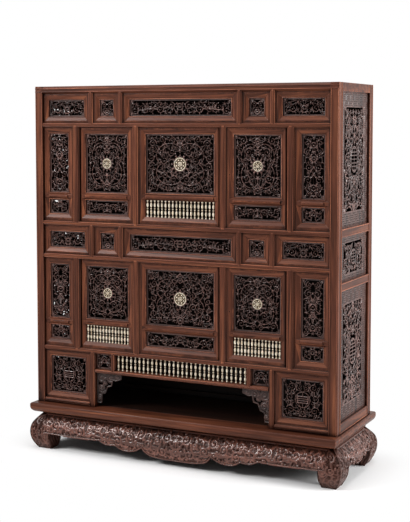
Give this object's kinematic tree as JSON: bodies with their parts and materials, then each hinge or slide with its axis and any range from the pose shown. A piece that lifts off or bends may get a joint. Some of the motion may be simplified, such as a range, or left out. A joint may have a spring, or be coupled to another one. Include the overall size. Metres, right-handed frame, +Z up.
{
  "type": "storage cabinet",
  "caption": "Carved hardwood cabinet on a bellied stand: openwork panels, pivot-hung doors with round bone medallions, rows of bone balusters and an open niche.",
  "frame": {"origin": "centre of the feet on the floor", "axes": "+Z up, -Y out of the front, +X to the right seen from the front"},
  "size_m": [1.4568, 0.516, 1.602],
  "materials": {
    "frame_wood": "satin oiled dark red-brown hardwood",
    "carved_wood": "satin carved dark hardwood",
    "inner_wood": "matt dark hardwood",
    "bone": "polished cream bone"
  },
  "bodies": {
    "cabinet": {"back_boards": "inner_wood", "base_end_frames": "frame_wood", "base_end_openwork": "carved_wood", "bottom_rails": "frame_wood", "fixed_leaf_frames": "frame_wood", "fixed_leaf_openwork": "carved_wood", "frieze_dividers": "frame_wood", "frieze_frames": "frame_wood", "frieze_openwork": "carved_wood", "front_apron": "carved_wood", "front_legs": "carved_wood", "front_posts": "frame_wood", "front_rails": "frame_wood", "middle_shelf": "inner_wood", "mullions": "frame_wood", "niche_balusters": "bone", "niche_ceiling": "inner_wood", "niche_lintel": "frame_wood", "niche_posts": "frame_wood", "niche_small_posts": "frame_wood", "niche_spandrels": "carved_wood", "niche_square_openwork": "carved_wood", "rear_apron": "carved_wood", "rear_legs": "carved_wood", "rear_posts": "frame_wood", "rear_rails": "inner_wood", "side_aprons": "carved_wood", "side_openwork": "carved_wood", "side_rails": "frame_wood", "stand_frame": "frame_wood", "stand_panel": "frame_wood", "stand_waist": "frame_wood", "top_panel": "inner_wood", "top_rails": "frame_wood"},
    "upper_left_door": {"upper_left_door_frame": "frame_wood", "upper_left_door_medallion": "bone", "upper_left_door_openwork": "carved_wood"},
    "upper_centre_door": {"upper_centre_door_balusters": "bone", "upper_centre_door_frame": "frame_wood", "upper_centre_door_medallion": "bone", "upper_centre_door_openwork": "carved_wood"},
    "upper_right_door": {"upper_right_door_frame": "frame_wood", "upper_right_door_medallion": "bone", "upper_right_door_openwork": "carved_wood"},
    "lower_left_door": {"lower_left_door_balusters": "bone", "lower_left_door_frame": "frame_wood", "lower_left_door_medallion": "bone", "lower_left_door_openwork": "carved_wood"},
    "lower_centre_door": {"lower_centre_door_frame": "frame_wood", "lower_centre_door_medallion": "bone", "lower_centre_door_openwork": "carved_wood"},
    "lower_right_door": {"lower_right_door_balusters": "bone", "lower_right_door_frame": "frame_wood", "lower_right_door_medallion": "bone", "lower_right_door_openwork": "carved_wood"},
    "lower_left_door_latch_bar": {"lower_left_door_latch": "frame_wood"},
    "lower_right_door_latch_bar": {"lower_right_door_latch": "frame_wood"},
    "upper_left_door_latch_bar": {"upper_left_door_latch": "frame_wood"},
    "upper_right_door_latch_bar": {"upper_right_door_latch": "frame_wood"}
  },
  "joints": [
    {"name": "upper_left_door_pivot", "type": "hinge", "parent": "cabinet", "child": "upper_left_door", "pos_m": [-0.469, -0.189, 1.222], "axis": [0, 0, -1], "range_deg": [0, 90]},
    {"name": "upper_left_door_latch_slide", "type": "slide", "parent": "upper_left_door", "child": "upper_left_door_latch_bar", "axis": [1, 0, 0], "range_m": [0, 0.007]},
    {"name": "upper_centre_door_pivot", "type": "hinge", "parent": "cabinet", "child": "upper_centre_door", "pos_m": [0.174, -0.189, 1.222], "axis": [0, 0, 1], "range_deg": [0, 90]},
    {"name": "upper_right_door_pivot", "type": "hinge", "parent": "cabinet", "child": "upper_right_door", "pos_m": [0.469, -0.189, 1.222], "axis": [0, 0, 1], "range_deg": [0, 90]},
    {"name": "upper_right_door_latch_slide", "type": "slide", "parent": "upper_right_door", "child": "upper_right_door_latch_bar", "axis": [-1, 0, 0], "range_m": [0, 0.007]},
    {"name": "lower_left_door_pivot", "type": "hinge", "parent": "cabinet", "child": "lower_left_door", "pos_m": [-0.469, -0.189, 0.661], "axis": [0, 0, -1], "range_deg": [0, 90]},
    {"name": "lower_left_door_latch_slide", "type": "slide", "parent": "lower_left_door", "child": "lower_left_door_latch_bar", "axis": [1, 0, 0], "range_m": [0, 0.007]},
    {"name": "lower_centre_door_pivot", "type": "hinge", "parent": "cabinet", "child": "lower_centre_door", "pos_m": [0.174, -0.189, 0.661], "axis": [0, 0, 1], "range_deg": [0, 90]},
    {"name": "lower_right_door_pivot", "type": "hinge", "parent": "cabinet", "child": "lower_right_door", "pos_m": [0.469, -0.189, 0.661], "axis": [0, 0, 1], "range_deg": [0, 90]},
    {"name": "lower_right_door_latch_slide", "type": "slide", "parent": "lower_right_door", "child": "lower_right_door_latch_bar", "axis": [-1, 0, 0], "range_m": [0, 0.007]}
  ]
}
